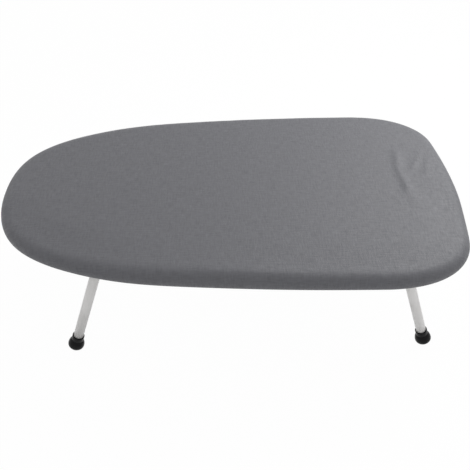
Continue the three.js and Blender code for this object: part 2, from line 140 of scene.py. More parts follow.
# Feet.
foot_radius = 10.7 * mm
foot_dome = 7.8 * mm
foot_shoulder = 13.1 * mm
foot_crease = 7.6 * mm
collar_radius = 7.9 * mm
collar_height = 7.8 * mm
foot_gap = 0.3 * mm
foot_flat = 0.4 * mm
socket_floor = 6 * mm

# Saddles, lugs, clips and rivets.
pivot_clearance = 0.5 * mm
saddle_thickness = 1.5 * mm
saddle_width = 24 * mm
saddle_reach = 20 * mm
lug_offset = 40 * mm
lug_width = 20 * mm
lug_thickness = 3 * mm
lug_reach = 13.5 * mm
lug_overlap = 2.5 * mm
weld_gap = 0.3 * mm
clip_length = 14 * mm
clip_thickness = 1.2 * mm
clip_clearance = 0.4 * mm
clip_lip = 3 * mm
clip_flare = 1.5 * mm
rivet_radius = 2 * mm
rivet_head_radius = 4 * mm
rivet_head_height = 1.8 * mm
rivet_tail_radius = 3.2 * mm
rivet_tail_height = 1.2 * mm

ends = ("nose", "tail")
sides = {"near": -1, "far": 1}
joint_places = {joint["name"]: Vector(joint["pos_m"]) for joint in frame["joints"]}
pivot = {end: joint_places[f"{end}_leg_fold"] for end in ends}


def turned(end):
    """The nose leg is the tail leg turned round."""
    return Matrix.Rotation(math.pi if end == "nose" else 0, 4, "Z")


foot_drop = math.hypot(foot_radius * math.sin(splay), foot_dome * math.cos(splay))
leg_reach = (pivot["tail"].z - foot_drop + foot_flat) / math.cos(splay)


# ---- Materials


def put(thing, **settings):
    for name, value in settings.items():
        setattr(thing, name, value)


def plug(tree, sockets, inputs):
    """Gives each of the sockets, by name or number, its value or its link."""
    for name, value in inputs.items():
        if isinstance(value, bpy.types.NodeSocket):
            tree.links.new(value, sockets[name])
        else:
            sockets[name].default_value = value


def add(tree, kind, inputs=None, **settings):
    node = tree.nodes.new("ShaderNode" + kind)
    put(node, **settings)
    plug(tree, node.inputs, inputs or {})
    return node


def placed(tree, group, **inputs):
    return add(tree, "Group", inputs, node_tree=group).outputs


def maths(tree, operation, first, second=0.0):
    return add(tree, "Math", {0: first, 1: second}, operation=operation).outputs[0]


def plus(tree, first, second):
    return maths(tree, "ADD", first, second)


def times(tree, first, second):
    return maths(tree, "MULTIPLY", first, second)


def remap(tree, value, low, high, to_low=0.0, to_high=1.0):
    inputs = {"Value": value, 1: low, 2: high, 3: to_low, 4: to_high}
    return add(tree, "MapRange", inputs).outputs[0]


def spread(tree, value, to_low=0.0, to_high=1.0):
    """Draws out most of a noise's values, 0.3 to 0.7, between two others."""
    return remap(tree, value, 0.3, 0.7, to_low, to_high)


def blend(tree, factor, first, second):
    """A colour between two colours."""
    inputs = {0: factor, 6: first, 7: second}
    return add(tree, "Mix", inputs, data_type="RGBA").outputs[2]


def stretched(tree, vector, scale):
    return add(tree, "VectorMath", {0: vector, 1: scale}, operation="MULTIPLY").outputs[0]


def split(tree, vector):
    return add(tree, "SeparateXYZ", {0: vector}).outputs


def speckle(tree, vector, scale, detail=2.0, roughness=0.5):
    inputs = {"Vector": vector, "Scale": scale, "Detail": detail, "Roughness": roughness}
    return add(tree, "TexNoise", inputs).outputs["Fac"]


def bumped(tree, height, strength, distance):
    inputs = {"Height": height, "Strength": strength, "Distance": distance}
    return add(tree, "Bump", inputs).outputs["Normal"]


def node_group(name, numbers, build):
    """A group that takes a Vector and numbers, and puts out the numbers of build(tree, given)."""
    tree = bpy.data.node_groups.new(name, "ShaderNodeTree")
    make = tree.interface.new_socket
    make(name="Vector", in_out="INPUT", socket_type="NodeSocketVector")
    for label, value in numbers.items():
        make(name=label, in_out="INPUT", socket_type="NodeSocketFloat").default_value = value
    made = build(tree, tree.nodes.new("NodeGroupInput").outputs)
    for label in made:
        make(name=label, in_out="OUTPUT", socket_type="NodeSocketFloat")
    plug(tree, tree.nodes.new("NodeGroupOutput").inputs, made)
    return tree


def plain_weave(tree, given):
    """Threads over and under each other, and slubs where a thread is thick."""
    slub_scale = 520
    drawn_out = 0.16
    cloud_scale = 22
    place = given["Vector"]
    pitches = maths(tree, "DIVIDE", 1.0, given["Pitch"])
    scaled = add(tree, "VectorMath", {0: place, "Scale": pitches}, operation="SCALE")
    parts = split(tree, scaled.outputs[0])
    waves = [maths(tree, "SINE", times(tree, part, math.pi)) for part in parts[:2]]
    warp, weft = [maths(tree, "ABSOLUTE", wave) for wave in waves]
    cells = plus(tree, *[maths(tree, "FLOOR", part) for part in parts[:2]])
    over = maths(tree, "PINGPONG", cells, 1.0)
    under = maths(tree, "SUBTRACT", 1.0, over)
    raised = plus(tree, times(tree, warp, over), times(tree, weft, under))
    lengthwise = speckle(tree, stretched(tree, place, (drawn_out, 1, 1)), slub_scale, 2.0, 0.6)
    crosswise = speckle(tree, stretched(tree, place, (1, drawn_out, 1)), slub_scale, 2.0, 0.6)
    uneven = maths(tree, "SUBTRACT", plus(tree, lengthwise, crosswise), 1.0)
    slubs = times(tree, uneven, given["Slub"])
    cloud = speckle(tree, place, cloud_scale, 3.0, 0.55)
    return {"Height": plus(tree, raised, times(tree, slubs, 4.0)), "Slubs": slubs, "Cloud": cloud}


def mottled_coat(tree, given):
    """Slow and quick unevenness of a coated or moulded surface, and a fine bump."""
    grain = speckle(tree, given["Vector"], given["Grain"], 2.0)
    patch = speckle(tree, given["Vector"], given["Patch"], 3.0)
    return {"Grain": grain, "Patch": patch, "Height": plus(tree, grain, times(tree, patch, 0.3))}


weave = node_group("plain weave", {"Pitch": 0.6 * mm, "Slub": 1.0}, plain_weave)
mottle = node_group("mottled coat", {"Grain": 900.0, "Patch": 60.0}, mottled_coat)


def mottled(tree, place, grain, patch, colours, roughness, bump):
    """A mottled coat, and sockets: its patches give the colour, and its grain the roughness."""
    coat = placed(tree, mottle, Vector=place, Grain=grain, Patch=patch)
    return coat, {
        "Base Color": blend(tree, spread(tree, coat["Patch"]), *colours),
        "Roughness": spread(tree, coat["Grain"], *roughness),
        "Normal": bumped(tree, coat["Height"], *bump),
    }


def material(name):
    """Makes a function that gives the Principled shader's sockets into a material."""
    def make(build):
        made = bpy.data.materials.new(name)
        made.use_nodes = True
        tree = made.node_tree
        place = add(tree, "TexCoord").outputs["Object"]
        plug(tree, tree.nodes["Principled BSDF"].inputs, build(tree, place))
        return made
    return make


@material("grey metallised cloth")
def cloth_finish(tree, place):
    cut = add(tree, "UVMap", uv_map="flat_cut").outputs["UV"]
    cloth = placed(tree, weave, Vector=cut, Pitch=0.55 * mm, Slub=1.0)
    slubs = remap(tree, cloth["Slubs"], -0.35, 0.35)
    cloud = spread(tree, cloth["Cloud"])
    yarn = blend(tree, slubs, (0.104, 0.105, 0.115, 1), (0.144, 0.145, 0.159, 1))
    return {
        "Base Color": blend(tree, times(tree, cloud, 0.25), yarn, (0.128, 0.129, 0.141, 1)),
        "Roughness": remap(tree, cloth["Slubs"], -0.35, 0.35, 0.60, 0.38),
        "Specular IOR Level": 0.4,
        "Normal": bumped(tree, cloth["Height"], 0.75, 0.06 * mm),
    }


@material("pale foam")
def foam_finish(tree, place):
    cells = add(tree, "TexVoronoi", {"Vector": place, "Scale": 900.0}).outputs["Distance"]
    coat = placed(tree, mottle, Vector=place, Grain=1400.0, Patch=40.0)
    tone = blend(tree, spread(tree, coat["Patch"]), (0.70, 0.66, 0.56, 1), (0.78, 0.75, 0.66, 1))
    return {
        # painted shade: each cell's pit is painted darker and browner towards its centre, where the bump
        # sinks it
        "Base Color": blend(tree, remap(tree, cells, 0.0, 0.5, 0.35, 0.0), tone, (0.42, 0.38, 0.30, 1)),
        "Roughness": spread(tree, coat["Grain"], 0.85, 1.0),
        "Normal": bumped(tree, cells, 0.6, 0.4 * mm),
    }


@material("white powder coat")
def powder_finish(tree, place):
    colours = (0.80, 0.787, 0.775, 1), (0.865, 0.855, 0.845, 1)
    coat, sockets = mottled(tree, place, 700.0, 35.0, colours, (0.33, 0.45), bump=(0.12, 0.12 * mm))
    return {**sockets, "Coat Weight": spread(tree, coat["Patch"], 0.12, 0.22), "Coat Roughness": 0.25}


@material("zinc plate")
def zinc_finish(tree, place):
    coat = placed(tree, mottle, Vector=place, Grain=1500.0, Patch=90.0)
    spangle = add(tree, "TexVoronoi", {"Vector": place, "Scale": 420.0}).outputs["Color"]
    flake = remap(tree, add(tree, "SeparateColor", {0: spangle}).outputs[0], 0, 1)
    return {
        "Base Color": blend(tree, flake, (0.42, 0.43, 0.44, 1), (0.60, 0.61, 0.63, 1)),
        "Roughness": spread(tree, coat["Grain"], 0.28, 0.48),
        "Metallic": 0.9,
        "Normal": bumped(tree, coat["Height"], 0.1, 0.06 * mm),
    }


@material("spring steel")
def spring_finish(tree, place):
    drawn = speckle(tree, stretched(tree, place, (0.05, 1, 1)), 2600, 2.0)
    coat = placed(tree, mottle, Vector=place, Grain=900.0, Patch=120.0)
    streaks = remap(tree, drawn, 0.35, 0.65)
    return {
        "Base Color": blend(tree, streaks, (0.30, 0.31, 0.33, 1), (0.44, 0.45, 0.47, 1)),
        "Roughness": spread(tree, coat["Patch"], 0.22, 0.38),
        "Metallic": 0.95,
        "Normal": bumped(tree, drawn, 0.08, 0.05 * mm),
    }


@material("grey steel mesh")
def mesh_finish(tree, place):
    colours = (0.34, 0.35, 0.36, 1), (0.46, 0.47, 0.48, 1)
    _, sockets = mottled(tree, place, 1100.0, 50.0, colours, (0.36, 0.52), bump=(0.15, 0.08 * mm))
    return {**sockets, "Metallic": 0.7}


@material("black rubber")
def rubber_finish(tree, place):
    colours = (0.004, 0.004, 0.0045, 1), (0.008, 0.008, 0.0085, 1)
    coat, sockets = mottled(tree, place, 1300.0, 110.0, colours, (0.24, 0.36), bump=(0.08, 0.05 * mm))
    near_floor = remap(tree, split(tree, place)[2], 2.5 * mm, 0.0)
    scuffed = times(tree, near_floor, remap(tree, coat["Grain"], 0.4, 0.6))
    return {
        **sockets,
        "Base Color": blend(tree, times(tree, scuffed, 0.5), sockets["Base Color"], (0.05, 0.05, 0.05, 1)),
        "Roughness": plus(tree, sockets["Roughness"], times(tree, scuffed, 0.35)),
        "Specular IOR Level": 0.12,
    }


@material("braided elastic")
def elastic_finish(tree, place):
    parts = split(tree, add(tree, "UVMap", uv_map="braid").outputs["UV"])
    one_way, other_way = [
        maths(tree, "SINE", times(tree, maths(tree, operation, parts[0], parts[1]), math.tau))
        for operation in ("ADD", "SUBTRACT")
    ]
    ribs = maths(tree, "MAXIMUM", one_way, other_way)
    # painted shade: the grooves between the ribs are painted darker grey than the raised ribs
    raised = remap(tree, ribs, -0.5, 1.0)
    return {
        "Base Color": blend(tree, raised, (0.46, 0.45, 0.43, 1), (0.74, 0.73, 0.70, 1)),
        "Roughness": remap(tree, ribs, -0.5, 1.0, 0.95, 0.75),
        "Normal": bumped(tree, ribs, 0.8, 0.15 * mm),
    }


@material("grey thread")
def thread_finish(tree, place):
    twist = speckle(tree, stretched(tree, place, (1, 1, 0.4)), 4200, 1.0)
    return {
        "Base Color": blend(tree, spread(tree, twist), (0.30, 0.30, 0.31, 1), (0.50, 0.50, 0.51, 1)),
        "Roughness": spread(tree, twist, 0.5, 0.7),
        "Normal": bumped(tree, twist, 0.4, 0.1 * mm),
    }


# ---- Helpers


def sharp_edges(bm, degrees):
    limit = math.radians(degrees)
    return [e for e in bm.edges if len(e.link_faces) == 2 and e.calc_face_angle(0) > limit]


def ease_edges(bm, edges, radius, segments):
    """Rounds the edges off."""
    bmesh.ops.bevel(
        bm, geom=edges, offset=radius, segments=segments, profile=0.5, affect="EDGES",
        clamp_overlap=True, material=-1,
    )


def close_up(bm):
    bmesh.ops.remove_doubles(bm, verts=bm.verts, dist=1e-6)
    bmesh.ops.recalc_face_normals(bm, faces=bm.faces)


def in_scene(name, data):
    thing = bpy.data.objects.new(name, data)
    scene.collection.objects.link(thing)
    return thing


def meshed(name, bm):
    """A new object with a bmesh's shape."""
    mesh = bpy.data.meshes.new(name)
    bm.to_mesh(mesh)
    return in_scene(name, mesh)


def finish_piece(name, bm, finish, stands_for=(), body="board"):
    """Makes the object, shades it smooth between its sharp edges, and seats it on its body."""
    piece = meshed(name, bm)
    bm.free()
    piece.data.shade_smooth()
    piece.data.set_sharp_from_angle(angle=math.radians(38))
    piece.data.materials.append(finish)
    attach(piece, body)
    if stands_for:
        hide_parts(*stands_for)
    return piece


def thicken(piece, thickness):
    """Gives a piece that is one sheet of faces its thickness, inwards."""
    put(piece.modifiers.new("thickness", "SOLIDIFY"), thickness=thickness, offset=-1)


def wire(points):
    """A mesh of one open line."""
    bm = bmesh.new()
    verts = [bm.verts.new(point) for point in points]
    for pair in zip(verts, verts[1:]):
        bm.edges.new(pair)
    return bm


def extruded(bm, edges):
    """Draws new edges out of the edges, and returns the new vertices and edges."""
    grown = bmesh.ops.extrude_edge_only(bm, edges=edges)["geom"]
    fresh = {g for g in grown if isinstance(g, bmesh.types.BMVert)}
    return fresh, [g for g in grown if isinstance(g, bmesh.types.BMEdge) and set(g.verts) <= fresh]


def cut_off(bm, point, outwards):
    bmesh.ops.bisect_plane(
        bm, geom=bm.verts[:] + bm.edges[:] + bm.faces[:], dist=1e-7,
        plane_co=point, plane_no=outwards, clear_outer=True,
    )


def arc(x, y, radius, start, end, steps):
    """Points on an arc, in degrees."""
    angles = [math.radians(start + (end - start) * i / steps) for i in range(steps + 1)]
    return [(x + radius * math.cos(a), y + radius * math.sin(a)) for a in angles]


def smooth_step(value):
    value = np.clip(value, 0, 1)
    return value * value * (3 - 2 * value)


def reach_along(points):
    """How far along a line each of its points is."""
    return np.concatenate([[0], np.cumsum(np.linalg.norm(np.diff(points, axis=0), axis=1))])


def read_off(at, reached, points):
    """The places at the given distances along a line."""
    return np.stack([np.interp(at, reached, points[:, k]) for k in (0, 1)], axis=1)


def ripple(x, y, per_metre, seed):
    """Smooth unevenness, from -1 to 1."""
    return noise.noise(Vector((x * per_metre, y * per_metre, seed)))


# ---- Board outline


def dense_outline():
    """Close points of the whole outline, from the nose tip round the far side."""
    widest = Vector((half_length - tail_shoulder, half_width, 0))
    corner = Vector((half_length - tail_bow, half_width - corner_depth, 0))
    nose = Vector((-half_length, 0, 0))
    tail = Vector((half_length, 0, 0))
    slope = tail_bow / (corner.y / 2)
    bow = Vector((half_length, corner.y / 2, 0))
    curves = [
        (nose, Vector((nose.x, nose_bluntness, 0)), widest - Vector((side_sweep, 0, 0)), widest),
        (
            widest,
            Vector((widest.x + quarter_round * (corner.x - widest.x), half_width, 0)),
            corner + quarter_round * corner_depth * Vector((-slope, 1, 0)),
            corner,
        ),
        (corner, corner + (bow - corner) * 2 / 3, tail + (bow - tail) * 2 / 3, tail),
    ]
    points = []
    for curve in curves:
        points += [p[:2] for p in interpolate_bezier(*curve, 400)[:-1]]
    far = np.array(points + [(half_length, 0)])
    near = far[::-1][1:] * (1, -1)
    return np.vstack([far, near])


dense = dense_outline()
dense_reach = reach_along(dense)


def stations(count):
    """Evenly spaced points of the outline, and the direction that faces outwards at each."""
    tangent = np.gradient(dense, dense_reach, axis=0)
    tangent[0] = tangent[-1] = (0, 1)
    at = np.arange(count) / count * dense_reach[-1]
    along = read_off(at, dense_reach, tangent)
    along /= np.linalg.norm(along, axis=1)[:, None]
    return read_off(at, dense_reach, dense), np.stack([-along[:, 1], along[:, 0]], axis=1)


def put_in_order(bm, verts):
    """Sorts the mesh by its vertices' ranks, because an operator's own order changes from run to run."""
    rank = {v: i for i, v in enumerate(verts)}

    def order(element):
        ranks = [rank[v] for v in element.verts]
        return min(ranks) * len(verts) + max(ranks)

    bm.verts.sort(key=rank.get)
    bm.edges.sort(key=order)
    bm.faces.sort(key=order)


def rings(section, count):
    """Rings that follow the outline, one for each (inset, z) of the section, joined in order.

    Returns the mesh and each ring's vertices, in the order of the stations.
    """
    edge, out = stations(count)
    bm = bmesh.new()
    place_of = bm.verts.layers.int.new("station")
    bm.verts.layers.float_vector.new("cut")
    ring = [bm.verts.new() for _ in range(count)]
    edges = [bm.edges.new((ring[i - 1], ring[i])) for i in range(count)]
    for i, v in enumerate(ring):
        v[place_of] = i
    made = []
    for step, (inset, z) in enumerate(section):
        if step:
            fresh, edges = extruded(bm, edges)
            ring = sorted(fresh, key=lambda v: v[place_of])
        for i, v in enumerate(ring):
            x, y = edge[i] - out[i] * inset
            v.co = (x, y, z)
        made.append(ring)
    put_in_order(bm, [v for ring in made for v in ring])
    return bm, made


def inset_arc(inset, z, radius, start, end, steps):
    """Section points on an arc. 0 degrees faces outwards, and 90 up."""
    return [(-outwards, height) for outwards, height in arc(-inset, z, radius, start, end, steps)]


def fill_across(bm, ring):
    """Fills a ring with squares that run along and across the board."""
    count = len(ring)
    start = across_steps // 2
    edges = [bm.edges.get((v, ring[(i + 1) % count])) for i, v in enumerate(ring)]
    far = edges[start: start + along_steps]
    near = edges[count - start - along_steps: count - start]
    bmesh.ops.grid_fill(bm, edges=far + near, use_smooth=True)


# ---- Fabric cover

cover_count = 2 * (along_steps + across_steps)
cover_edge, cover_out = stations(cover_count)


def gathers(count):
    """How much the elastic puckers the cloth at each station, from -1 to 1.

    The puckers are strongest where the outline turns, as cloth cut on a curve has to be.
    """
    edge, out = stations(count)
    turn = np.linalg.norm(np.roll(out, -1, axis=0) - np.roll(out, 1, axis=0), axis=1)
    turn = np.convolve(np.tile(turn / turn.max(), 3), np.ones(9) / 9, "same")[count: 2 * count]
    waves = [1.5 * ripple(x, y, 95, 3.1) + 0.5 * ripple(x, y, 34, 8.7) for x, y in edge]
    return np.array(waves) * (0.45 + 0.55 * smooth_step(turn * 1.6))


def gather_share(inset, z):
    """How much of the gathers reaches a ring of the cover: none on top, all at the hem."""
    if z > cover_bottom + 0.5 * mm:
        return gather_side * smooth_step((surface_z - z) / (surface_z - cover_bottom))
    return gather_side + (1 - gather_side) * smooth_step(inset / hem_inset)


def padded_out(count):
    """How much further than elsewhere the padded side stands out, at each station."""
    edge, _ = stations(count)
    corner = Vector((half_length - corner_middle[0], half_width - corner_middle[1]))
    from_corner = np.hypot(edge[:, 0] - corner.x, np.abs(edge[:, 1]) - corner.y)
    at_corner = np.exp(-((from_corner / corner_spread) ** 2))
    at_nose = np.exp(-(((edge[:, 0] - nose_side_x) / nose_side_spread) ** 2))
    return corner_proud * at_corner + nose_proud * at_nose


def move_out(ring, out, amounts):
    for v, (x, y), amount in zip(ring, out, amounts):
        v.co.x += x * amount
        v.co.y += y * amount


def push_out(section, made):
    """Moves the rings out by what the padded side stands out, less and less further in."""
    extra = padded_out(cover_count)
    for (inset, _), ring in zip(section, made):
        move_out(ring, cover_out, extra * np.clip(1 - inset / push_reach, 0, 1))


def pucker(ring, out, lifts):
    """Lifts a ring's points with the gathers, and moves them out by half as much."""
    for v, lift in zip(ring, lifts):
        v.co.z += lift
    move_out(ring, out, lifts * 0.5)


def sag(places):
    """How far the padded top is drawn down at each place, and with it the round of the edge."""
    edge, _ = stations(360)
    lowered = np.zeros(len(places))
    chosen = places[:, 1] < 0
    apart = np.linalg.norm(places[chosen, None, :2] - edge, axis=2)
    nearest = edge[apart.argmin(axis=1)]
    along = np.interp(nearest[:, 0], [x * mm for x, _ in sag_along], [share for _, share in sag_along])
    round_end = smooth_step((-nearest[:, 1] - 10 * mm) / (60 * mm))
    fade_from, fade_to = sag_reach
    inwards = smooth_step((fade_to - apart.min(axis=1)) / (fade_to - fade_from))
    below = np.clip((places[chosen, 2] - cover_bottom) / (surface_z - roll_drop - cover_bottom), 0, 1)
    lowered[chosen] = sag_depth * along * round_end * inwards * below
    return lowered


def blunt_quarter(reach, height, steps):
    """A blunt quarter ellipse, from (0, height) to (reach, 0)."""
    power = 2 / roll_bluntness
    angles = np.linspace(math.pi / 2, 0, steps + 1)
    return [(reach * abs(math.cos(a)) ** power, height * abs(math.sin(a)) ** power) for a in angles]


def cover_section():
    """The cloth's outer side, from the flat top to the free edge of the hem's roll."""
    side_z = surface_z - roll_drop
    start = roll_reach - cloth_proud
    over = [(start - out, side_z + up) for out, up in blunt_quarter(roll_reach, roll_drop, roll_steps)]
    end = turn_under - cloth_proud
    below = blunt_quarter(turn_under, side_z - cover_bottom, 4)[::-1]
    under = [(end - out, side_z - down) for out, down in below]
    flat = [(end + (hem_inset - end) * t, cover_bottom) for t in (0.25, 0.5, 0.75)]
    roll = inset_arc(hem_inset, hem_roll_z, hem_roll_radius, 90, hem_roll_end, 7)
    return [(start + top_step, surface_z), *over, *under[1:], *flat, *roll]


def settle(bm, section, made):
    """Lets the loose cloth under the edge buckle between the side and the elastic.

    It is given more width than the elastic leaves it room for, and simulated. How far a
    point may then move is capped, least of all inwards, where the pad and the rim are.
    """
    enlarged = 10  # the solver works better on a bigger piece
    bm.verts.index_update()
    bm.normal_update()
    before = np.array([v.co for v in bm.verts])
    normal = np.array([v.normal for v in bm.verts])
    form = meshed("loose_cloth", bm)
    form.data.transform(Matrix.Scale(enlarged, 4))
    held = form.vertex_groups.new(name="held")
    spare = form.vertex_groups.new(name="spare")
    cap = np.zeros(len(before))
    for (inset, z), ring in zip(section, made):
        share = gather_share(inset, z)
        indices = [v.index for v in ring]
        on_top = z > surface_z - 0.3 * mm
        in_roll = z < cover_bottom - 0.1 * mm
        held.add(indices, 1.0 if on_top or in_roll else 0.0, "REPLACE")
        spare.add(indices, share, "REPLACE")
        cap[indices] = 0 if on_top or in_roll else buckle_out * (0.25 + 0.75 * share)
    cloth = form.modifiers.new("cloth", "CLOTH")
    put(
        cloth.settings, quality=6, mass=0.2, tension_stiffness=12, compression_stiffness=12,
        shear_stiffness=4, bending_stiffness=0.4, vertex_group_mass=held.name,
        vertex_group_shrink=spare.name, shrink_min=0, shrink_max=-0.08, use_pressure=True,
        uniform_pressure_force=1.5,
    )
    cloth.settings.effector_weights.gravity = 0
    cloth.collision_settings.use_collision = False
    put(cloth.point_cache, frame_start=1, frame_end=settle_frames)
    for step in range(1, settle_frames + 1):
        scene.frame_set(step)
    settled = form.evaluated_get(bpy.context.evaluated_depsgraph_get()).to_mesh()
    after = np.empty(3 * len(before))
    settled.vertices.foreach_get("co", after)
    moved = after.reshape(-1, 3) / enlarged - before
    scene.frame_set(1)
    bpy.data.objects.remove(form)
    side = made[roll_steps + 1]
    if Vector(normal[side[0].index]).dot(Vector((*cover_out[0], 0))) < 0:
        normal = -normal
    away = (moved * normal).sum(axis=1)
    along = moved - away[:, None] * normal
    length = np.maximum(np.linalg.norm(along, axis=1), 1e-9)
    along *= np.minimum(1, cap / length)[:, None]
    away = np.clip(away, -np.minimum(cap, buckle_in), cap)
    for v, place in zip(bm.verts, before + along + away[:, None] * normal):
        v.co = place


def make_cover_mesh():
    section = cover_section()
    bm, made = rings(section, cover_count)
    cut = bm.verts.layers.float_vector["cut"]
    puckers = gathers(cover_count)
    for (inset, z), ring, far in zip(section, made, reach_along(section)):
        for v, place in zip(ring, cover_edge - cover_out * (section[0][0] - far)):
            v[cut] = (*place, 0)
        pucker(ring, cover_out, puckers * gather_share(inset, z) * gather_depth)
    push_out(section, made)
    settle(bm, section, made)
    fill_across(bm, made[0])
    ringed = {v for ring in made for v in ring}
    for v in bm.verts:
        if v not in ringed:
            v[cut] = (v.co.x, v.co.y, 0)
    bmesh.ops.recalc_face_normals(bm, faces=bm.faces)
    if max(bm.faces, key=lambda f: f.calc_center_median().z).normal.z < 0:
        bmesh.ops.reverse_faces(bm, faces=bm.faces)
    flat = bm.loops.layers.uv.new("flat_cut")
    for face in bm.faces:
        for loop in face.loops:
            loop[flat].uv = loop.vert[cut].xy
    return bm


# Creases in the cloth: points along each one in mm, its height, and how far it spreads to the
# left and to the right of its crest.
creases = [
    ([(233.4, 88), (232.5, 70), (231, 60), (229, 50), (228, 40), (227.5, 31), (228.4, 21), (229.3, 12),
      (230.8, 3), (231.6, -6), (232.4, -16), (233, -26)], 1.9, 3.3, 4.6),
    ([(230, 4), (231.5, -8), (233.5, -20), (236, -34), (239.5, -54)], 0.9, 5.0, 6.5),
    ([(267.5, 80), (263.2, 69), (259, 59), (254.2, 50), (250, 40), (246, 30.5), (243, 23.5)],
     0.9, 2.4, 3.0),
    ([(276, 64), (272, 49), (268, 35), (263.5, 20.6), (259, 7)], 0.9, 3.0, 5.0),
    ([(-96, -161.6), (-74, -163.8), (-50, -165.6)], 0.4, 2.0, 2.0),
]


def soft_path(points):
    """A close, smooth line through the points."""
    points = np.array(points) * mm
    reached = reach_along(points)
    path = read_off(np.linspace(0, reached[-1], 120), reached, points)
    even = np.ones(21) / 21
    padded = np.pad(path, ((10, 10), (0, 0)), mode="reflect", reflect_type="odd")
    return np.stack([np.convolve(padded[:, k], even, "valid") for k in (0, 1)], axis=1)


def crease_lift(places):
    """How far the creases, and the cloth's slow unevenness, lift each place on the top."""
    lift = np.zeros(len(places))
    for points, height, left_width, right_width in creases:
        path = soft_path(points)
        apart = np.linalg.norm(places[:, None, :2] - path, axis=2)
        nearest = apart.argmin(axis=1)
        share = np.arange(len(path)) / (len(path) - 1)
        fade = smooth_step(np.minimum(share, 1 - share) * 5)[nearest]
        width = np.where(places[:, 0] < path[nearest, 0], left_width, right_width) * mm
        lift += height * mm * fade * np.exp(-0.5 * (apart.min(axis=1) / width) ** 2)
    for i, (x, y, _) in enumerate(places):
        lift[i] += 0.2 * mm * ripple(x, y, 26, 5.3)
        lift[i] += 0.1 * mm * ripple(x, y, 75, 1.9)
    return lift


def apply_modifiers(piece):
    """Makes the piece's modifiers part of its mesh, so that finer moves can follow."""
    graph = bpy.context.evaluated_depsgraph_get()
    fine = bpy.data.meshes.new_from_object(piece.evaluated_get(graph), depsgraph=graph)
    piece.modifiers.clear()
    piece.data = fine
    fine.name = piece.name


def crease(piece):
    """Moves the points of the top by the creases, less and less over the edge."""
    count = len(piece.data.vertices)
    places = np.empty(3 * count)
    piece.data.vertices.foreach_get("co", places)
    places = places.reshape(-1, 3)
    on_top = smooth_step((places[:, 2] - (surface_z - 8 * mm)) / (7 * mm))
    chosen = on_top > 0
    lift = -sag(places)
    lift[chosen] += crease_lift(places[chosen]) * on_top[chosen]
    places[:, 2] += lift
    piece.data.vertices.foreach_set("co", places.ravel())
    piece.data.update()


def make_cover():
    bm = make_cover_mesh()
    cover = finish_piece("fabric_cover", bm, cloth_finish, ["cover"])
    put(cover.modifiers.new("fine cloth", "SUBSURF"), levels=1, render_levels=1)
    apply_modifiers(cover)
    crease(cover)
    thicken(cover, cloth_thickness)
    return cover


cover = make_cover()


def make_pad():
    """The foam: a flat pad with a skirt that wraps the rim, close under the cloth."""
    lining = pad_low.x - cover_low.x
    outside = lining - cloth_proud
    side_z = surface_z - roll_drop
    start = roll_reach - cloth_proud
    hollow = rim_radius + 2 * soft_gap
    bottom = deck_high.z + soft_gap
    deck_edge = rim_inset - deck_lap - soft_gap
    turn = math.degrees(math.acos((rim_inset - deck_edge) / hollow))
    top = pad_high.z - soft_gap
    over = blunt_quarter(start - outside, top - side_z, roll_steps)
    section = [
        (start + top_step, top),
        *[(start - out, side_z + up) for out, up in over],
        (outside + 0.8 * mm, pad_low.z + 2.6 * mm),
        (outside + 1.5 * mm, pad_low.z + 0.9 * mm),
        (outside + 2.4 * mm, pad_low.z),
        (rim_inset - hollow - soft_gap, pad_low.z),
        *inset_arc(rim_inset, rim_z, hollow, 0, turn, 4),
        (deck_edge, bottom),
        (start, bottom),
    ]
    bm, made = rings(section, cover_count)
    push_out(section, made)
    fill_across(bm, made[0])
    rounded = {v for ring in made[:len(over) + 1] for v in ring}
    outer = [v for v in bm.verts if v in rounded or v.co.z > pad_high.z - 0.4 * mm]
    for v, drawn in zip(outer, sag(np.array([v.co for v in outer]))):
        v.co.z -= drawn
    fill_across(bm, made[-1])
    close_up(bm)
    pad = finish_piece("foam_underlay", bm, foam_finish, ["foam_pad"])
    return pad


pad = make_pad()


def make_elastic():
    count = 600
    sides_round = 12
    braid_turns = 4
    section = inset_arc(hem_inset, hem_roll_z, elastic_radius, 0, 360, sides_round)
    bm, made = rings(section, count)
    _, out = stations(count)
    for ring in made:
        pucker(ring, out, gathers(count) * gather_depth)
    braid = bm.loops.layers.uv.new("braid")
    rank = {v: (i, j) for j, ring in enumerate(made) for i, v in enumerate(ring)}
    for face in bm.faces:
        seam = {rank[v][0] for v in face.verts} == {0, count - 1}
        for loop in face.loops:
            i, j = rank[loop.vert]
            along = count if seam and i == 0 else i
            loop[braid].uv = (along, j / sides_round * braid_turns)
    close_up(bm)
    return finish_piece("braided_elastic", bm, elastic_finish, ["hem_elastic"])


elastic = make_elastic()


def make_stitching(cloth):
    """A row of stitches on the underside, outside the hem's roll."""
    count = round(dense_reach[-1] / stitch_pitch)
    edge, out = stations(count)
    surface = BVHTree.FromObject(cloth, bpy.context.evaluated_depsgraph_get())
    bm = bmesh.new()
    for i in range(count):
        x, y = edge[i] - out[i] * stitch_inset
        hit = surface.ray_cast(Vector((x, y, cover_bottom - 12 * mm)), Vector((0, 0, 1)))[0]
        z = hit.z if hit else cover_bottom
        turn = Matrix.Rotation(math.atan2(out[i][0], -out[i][1]), 4, "Z")
        place = Matrix.Translation((x, y, z)) @ turn
        shape = Matrix.Diagonal((*stitch_half_size, 1))
        bmesh.ops.create_uvsphere(bm, u_segments=6, v_segments=5, radius=1, matrix=place @ shape)
    return finish_piece("hem_stitching", bm, thread_finish)


stitching = make_stitching(cover)


# ---- Rim and deck


def make_rim():
    section = inset_arc(rim_inset, rim_z, rim_radius, 0, 360, 28)
    bm, _ = rings(section, 300)
    close_up(bm)
    finish_piece("rim_tube", bm, powder_finish, ["rim_frame"])


make_rim()


